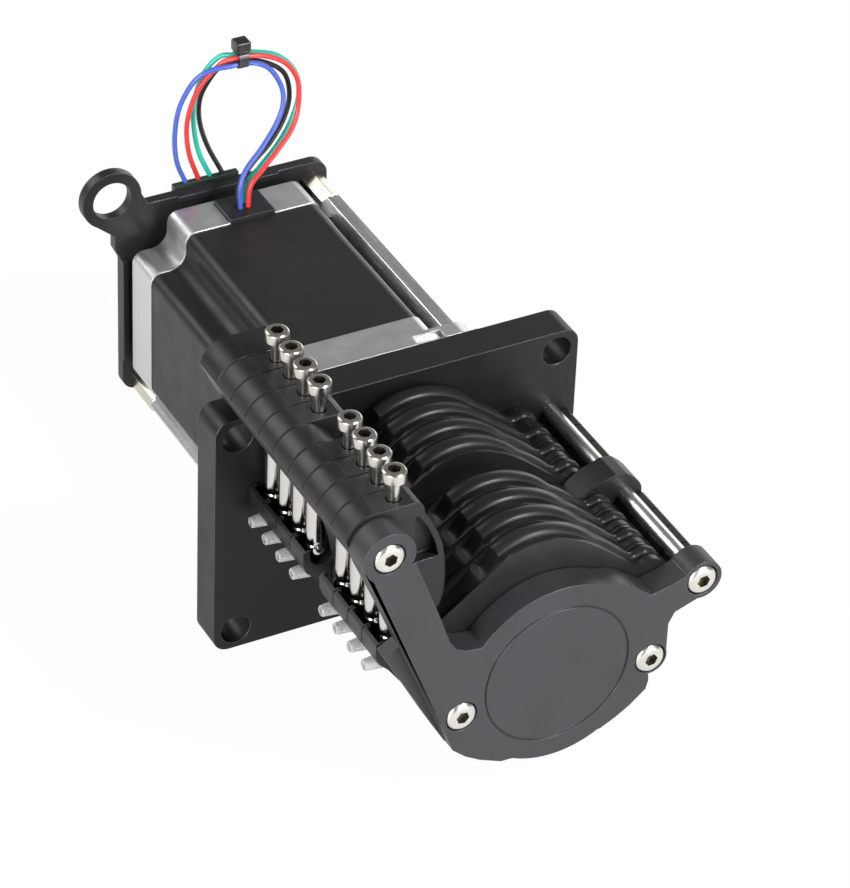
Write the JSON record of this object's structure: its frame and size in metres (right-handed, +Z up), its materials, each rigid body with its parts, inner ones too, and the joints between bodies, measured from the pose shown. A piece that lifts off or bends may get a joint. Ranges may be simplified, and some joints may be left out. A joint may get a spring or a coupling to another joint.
{
  "type": "multichannel peristaltic pump",
  "caption": "Peristaltic pump head with spring-loaded pressure levers over separate tube tracks, a hook rod and a square stepping motor behind a flat mounting plate",
  "frame": {"origin": "centre of the four mounting plate holes, on the plate's front face", "axes": "X to the right across the plate, Y from the front of the head to the motor, Z up"},
  "size_m": [0.096, 0.1816, 0.1022],
  "materials": {
    "black_plastic": "fine-grained satin black moulding",
    "track_plastic": "smooth satin black moulding",
    "ground_steel": "ground and polished steel rod",
    "zinc_screws": "satin stainless and zinc-plated steel",
    "chrome_steel": "bright chrome-plated steel",
    "bronze_bush": "plain sintered bronze",
    "tube_rubber": "soft pale pump tubing",
    "clear_plastic": "translucent natural moulding",
    "blasted_aluminium": "bead-blasted cast aluminium",
    "black_laminations": "black stacked laminations",
    "carrier_aluminium": "machined aluminium",
    "blue_insulation": "blue lead insulation",
    "red_insulation": "red lead insulation",
    "green_insulation": "green lead insulation",
    "black_insulation": "black lead insulation",
    "green_board": "dark green circuit board"
  },
  "bodies": {
    "base": {"mounting_plate": "black_plastic", "middle_support": "black_plastic", "front_cover": "black_plastic", "lever_shaft": "ground_steel", "hook_rod": "ground_steel", "tie_rods": "ground_steel", "pan_head_screws": "zinc_screws", "rotor_bearings": "bronze_bush", "tubes": "tube_rubber", "nozzles": "clear_plastic", "motor_front_cap": "blasted_aluminium", "motor_stator": "black_laminations", "motor_rear_cap": "blasted_aluminium", "lead_grommet": "black_plastic", "blue_lead": "blue_insulation", "red_lead": "red_insulation", "green_lead": "green_insulation", "black_lead": "black_insulation", "cable_tie": "black_insulation", "rear_bracket": "black_plastic", "standoffs": "zinc_screws", "terminal_board": "green_board"},
    "rotor": {"motor_shaft": "ground_steel", "roller_carrier": "carrier_aluminium"},
    "roller_1_body": {"roller_1": "chrome_steel"},
    "roller_2_body": {"roller_2": "chrome_steel"},
    "roller_3_body": {"roller_3": "chrome_steel"},
    "roller_4_body": {"roller_4": "chrome_steel"},
    "lever_1_body": {"lever_1": "black_plastic"},
    "plunger_1_body": {"plunger_1": "chrome_steel"},
    "screw_1_body": {"screw_1": "zinc_screws"},
    "track_1_body": {"track_1": "track_plastic"},
    "lever_2_body": {"lever_2": "black_plastic"},
    "plunger_2_body": {"plunger_2": "chrome_steel"},
    "screw_2_body": {"screw_2": "zinc_screws"},
    "track_2_body": {"track_2": "track_plastic"},
    "lever_3_body": {"lever_3": "black_plastic"},
    "plunger_3_body": {"plunger_3": "chrome_steel"},
    "screw_3_body": {"screw_3": "zinc_screws"},
    "track_3_body": {"track_3": "track_plastic"},
    "lever_4_body": {"lever_4": "black_plastic"},
    "plunger_4_body": {"plunger_4": "chrome_steel"},
    "screw_4_body": {"screw_4": "zinc_screws"},
    "track_4_body": {"track_4": "track_plastic"},
    "lever_5_body": {"lever_5": "black_plastic"},
    "plunger_5_body": {"plunger_5": "chrome_steel"},
    "screw_5_body": {"screw_5": "zinc_screws"},
    "track_5_body": {"track_5": "track_plastic"},
    "lever_6_body": {"lever_6": "black_plastic"},
    "plunger_6_body": {"plunger_6": "chrome_steel"},
    "screw_6_body": {"screw_6": "zinc_screws"},
    "track_6_body": {"track_6": "track_plastic"},
    "lever_7_body": {"lever_7": "black_plastic"},
    "plunger_7_body": {"plunger_7": "chrome_steel"},
    "screw_7_body": {"screw_7": "zinc_screws"},
    "track_7_body": {"track_7": "track_plastic"},
    "lever_8_body": {"lever_8": "black_plastic"},
    "plunger_8_body": {"plunger_8": "chrome_steel"},
    "screw_8_body": {"screw_8": "zinc_screws"},
    "track_8_body": {"track_8": "track_plastic"}
  },
  "joints": [
    {"name": "rotor_turn", "type": "hinge", "parent": "base", "child": "rotor", "pos_m": [0.004, -0.03, -0.00385], "axis": [0, 1, 0], "continuous": true},
    {"name": "roller_1_turn", "type": "hinge", "parent": "rotor", "child": "roller_1_body", "pos_m": [0.01496, -0.03, 0.00711], "axis": [0, 1, 0], "continuous": true},
    {"name": "roller_2_turn", "type": "hinge", "parent": "rotor", "child": "roller_2_body", "pos_m": [-0.00696, -0.03, 0.00711], "axis": [0, 1, 0], "continuous": true},
    {"name": "roller_3_turn", "type": "hinge", "parent": "rotor", "child": "roller_3_body", "pos_m": [-0.00696, -0.03, -0.01481], "axis": [0, 1, 0], "continuous": true},
    {"name": "roller_4_turn", "type": "hinge", "parent": "rotor", "child": "roller_4_body", "pos_m": [0.01496, -0.03, -0.01481], "axis": [0, 1, 0], "continuous": true},
    {"name": "lever_1_open", "type": "hinge", "parent": "base", "child": "lever_1_body", "pos_m": [-0.0405, -0.00378, 0.04365], "axis": [0, -1, 0], "range_deg": [0, 100]},
    {"name": "plunger_1_lift", "type": "slide", "parent": "lever_1_body", "child": "plunger_1_body", "axis": [0, 0, 1], "range_m": [0, 0.0012], "stiffness_N_per_m": 2000, "springref_m": -0.004},
    {"name": "screw_1_turn", "type": "hinge", "parent": "plunger_1_body", "child": "screw_1_body", "pos_m": [-0.0344, -0.00378, 0.05615], "axis": [0, 0, 1], "range_deg": [-360, 360]},
    {"name": "track_1_lift", "type": "hinge", "parent": "base", "child": "track_1_body", "pos_m": [0.0413, -0.00378, 0.01085], "axis": [0, 1, 0], "range_deg": [0, 1]},
    {"name": "lever_2_open", "type": "hinge", "parent": "base", "child": "lever_2_body", "pos_m": [-0.0405, -0.01098, 0.04365], "axis": [0, -1, 0], "range_deg": [0, 100]},
    {"name": "plunger_2_lift", "type": "slide", "parent": "lever_2_body", "child": "plunger_2_body", "axis": [0, 0, 1], "range_m": [0, 0.0012], "stiffness_N_per_m": 2000, "springref_m": -0.004},
    {"name": "screw_2_turn", "type": "hinge", "parent": "plunger_2_body", "child": "screw_2_body", "pos_m": [-0.0344, -0.01098, 0.05615], "axis": [0, 0, 1], "range_deg": [-360, 360]},
    {"name": "track_2_lift", "type": "hinge", "parent": "base", "child": "track_2_body", "pos_m": [0.0413, -0.01098, 0.01085], "axis": [0, 1, 0], "range_deg": [0, 1]},
    {"name": "lever_3_open", "type": "hinge", "parent": "base", "child": "lever_3_body", "pos_m": [-0.0405, -0.01818, 0.04365], "axis": [0, -1, 0], "range_deg": [0, 100]},
    {"name": "plunger_3_lift", "type": "slide", "parent": "lever_3_body", "child": "plunger_3_body", "axis": [0, 0, 1], "range_m": [0, 0.0012], "stiffness_N_per_m": 2000, "springref_m": -0.004},
    {"name": "screw_3_turn", "type": "hinge", "parent": "plunger_3_body", "child": "screw_3_body", "pos_m": [-0.0344, -0.01818, 0.05615], "axis": [0, 0, 1], "range_deg": [-360, 360]},
    {"name": "track_3_lift", "type": "hinge", "parent": "base", "child": "track_3_body", "pos_m": [0.0413, -0.01818, 0.01085], "axis": [0, 1, 0], "range_deg": [0, 1]},
    {"name": "lever_4_open", "type": "hinge", "parent": "base", "child": "lever_4_body", "pos_m": [-0.0405, -0.02538, 0.04365], "axis": [0, -1, 0], "range_deg": [0, 100]},
    {"name": "plunger_4_lift", "type": "slide", "parent": "lever_4_body", "child": "plunger_4_body", "axis": [0, 0, 1], "range_m": [0, 0.0012], "stiffness_N_per_m": 2000, "springref_m": -0.004},
    {"name": "screw_4_turn", "type": "hinge", "parent": "plunger_4_body", "child": "screw_4_body", "pos_m": [-0.0344, -0.02538, 0.05615], "axis": [0, 0, 1], "range_deg": [-360, 360]},
    {"name": "track_4_lift", "type": "hinge", "parent": "base", "child": "track_4_body", "pos_m": [0.0413, -0.02538, 0.01085], "axis": [0, 1, 0], "range_deg": [0, 1]},
    {"name": "lever_5_open", "type": "hinge", "parent": "base", "child": "lever_5_body", "pos_m": [-0.0405, -0.04057, 0.04365], "axis": [0, -1, 0], "range_deg": [0, 100]},
    {"name": "plunger_5_lift", "type": "slide", "parent": "lever_5_body", "child": "plunger_5_body", "axis": [0, 0, 1], "range_m": [0, 0.0012], "stiffness_N_per_m": 2000, "springref_m": -0.004},
    {"name": "screw_5_turn", "type": "hinge", "parent": "plunger_5_body", "child": "screw_5_body", "pos_m": [-0.0344, -0.04057, 0.05615], "axis": [0, 0, 1], "range_deg": [-360, 360]},
    {"name": "track_5_lift", "type": "hinge", "parent": "base", "child": "track_5_body", "pos_m": [0.0413, -0.04057, 0.01085], "axis": [0, 1, 0], "range_deg": [0, 1]},
    {"name": "lever_6_open", "type": "hinge", "parent": "base", "child": "lever_6_body", "pos_m": [-0.0405, -0.04777, 0.04365], "axis": [0, -1, 0], "range_deg": [0, 100]},
    {"name": "plunger_6_lift", "type": "slide", "parent": "lever_6_body", "child": "plunger_6_body", "axis": [0, 0, 1], "range_m": [0, 0.0012], "stiffness_N_per_m": 2000, "springref_m": -0.004},
    {"name": "screw_6_turn", "type": "hinge", "parent": "plunger_6_body", "child": "screw_6_body", "pos_m": [-0.0344, -0.04777, 0.05615], "axis": [0, 0, 1], "range_deg": [-360, 360]},
    {"name": "track_6_lift", "type": "hinge", "parent": "base", "child": "track_6_body", "pos_m": [0.0413, -0.04777, 0.01085], "axis": [0, 1, 0], "range_deg": [0, 1]},
    {"name": "lever_7_open", "type": "hinge", "parent": "base", "child": "lever_7_body", "pos_m": [-0.0405, -0.05498, 0.04365], "axis": [0, -1, 0], "range_deg": [0, 100]},
    {"name": "plunger_7_lift", "type": "slide", "parent": "lever_7_body", "child": "plunger_7_body", "axis": [0, 0, 1], "range_m": [0, 0.0012], "stiffness_N_per_m": 2000, "springref_m": -0.004},
    {"name": "screw_7_turn", "type": "hinge", "parent": "plunger_7_body", "child": "screw_7_body", "pos_m": [-0.0344, -0.05498, 0.05615], "axis": [0, 0, 1], "range_deg": [-360, 360]},
    {"name": "track_7_lift", "type": "hinge", "parent": "base", "child": "track_7_body", "pos_m": [0.0413, -0.05498, 0.01085], "axis": [0, 1, 0], "range_deg": [0, 1]},
    {"name": "lever_8_open", "type": "hinge", "parent": "base", "child": "lever_8_body", "pos_m": [-0.0405, -0.06218, 0.04365], "axis": [0, -1, 0], "range_deg": [0, 100]},
    {"name": "plunger_8_lift", "type": "slide", "parent": "lever_8_body", "child": "plunger_8_body", "axis": [0, 0, 1], "range_m": [0, 0.0012], "stiffness_N_per_m": 2000, "springref_m": -0.004},
    {"name": "screw_8_turn", "type": "hinge", "parent": "plunger_8_body", "child": "screw_8_body", "pos_m": [-0.0344, -0.06218, 0.05615], "axis": [0, 0, 1], "range_deg": [-360, 360]},
    {"name": "track_8_lift", "type": "hinge", "parent": "base", "child": "track_8_body", "pos_m": [0.0413, -0.06218, 0.01085], "axis": [0, 1, 0], "range_deg": [0, 1]}
  ],
  "couplings": [
    {"joint": "roller_1_turn", "follows": "rotor_turn", "ratio": -4.1},
    {"joint": "roller_2_turn", "follows": "rotor_turn", "ratio": -4.1},
    {"joint": "roller_3_turn", "follows": "rotor_turn", "ratio": -4.1},
    {"joint": "roller_4_turn", "follows": "rotor_turn", "ratio": -4.1},
    {"joint": "track_1_lift", "follows": "plunger_1_lift", "rad_per_m": 13.21},
    {"joint": "track_2_lift", "follows": "plunger_2_lift", "rad_per_m": 13.21},
    {"joint": "track_3_lift", "follows": "plunger_3_lift", "rad_per_m": 13.21},
    {"joint": "track_4_lift", "follows": "plunger_4_lift", "rad_per_m": 13.21},
    {"joint": "track_5_lift", "follows": "plunger_5_lift", "rad_per_m": 13.21},
    {"joint": "track_6_lift", "follows": "plunger_6_lift", "rad_per_m": 13.21},
    {"joint": "track_7_lift", "follows": "plunger_7_lift", "rad_per_m": 13.21},
    {"joint": "track_8_lift", "follows": "plunger_8_lift", "rad_per_m": 13.21}
  ]
}
